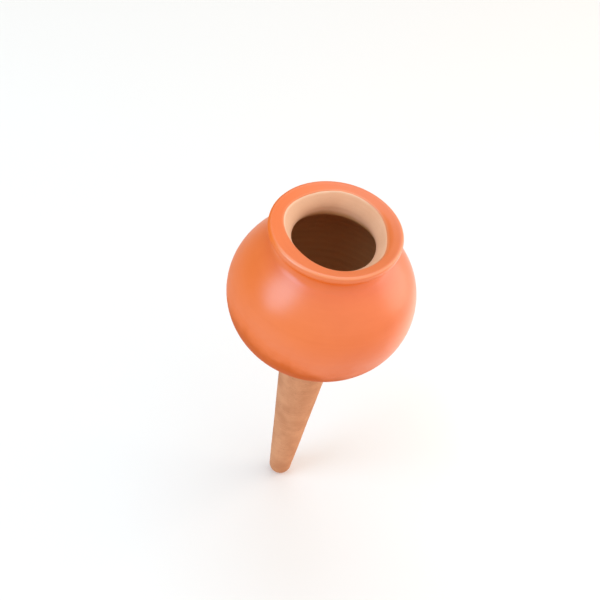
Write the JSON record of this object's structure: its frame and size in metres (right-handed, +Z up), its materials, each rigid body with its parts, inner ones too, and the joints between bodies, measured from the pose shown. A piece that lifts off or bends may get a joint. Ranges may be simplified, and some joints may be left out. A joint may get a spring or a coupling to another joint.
{
  "type": "plant watering globe",
  "caption": "Hollow terracotta globe with an open rolled-lip mouth, painted outside, on a porous hollow spike that waters a planter from inside the soil.",
  "frame": {"origin": "on the axis at the soil line, which is the underside of the collar", "axes": "+Z up along the axis, from the spike to the mouth; X and Y are alike, as the part is round"},
  "size_m": [0.1, 0.1, 0.2131],
  "materials": {
    "terracotta": "matte bare fired clay",
    "orange_paint": "satin orange sealing paint",
    "porous_terracotta": "matte porous fired clay",
    "fired_slip": "matte fired slip"
  },
  "bodies": {
    "root": {"globe_shell": "terracotta", "sealing_coat": "orange_paint", "spike": "porous_terracotta", "luting_bed": "fired_slip"}
  },
  "joints": []
}
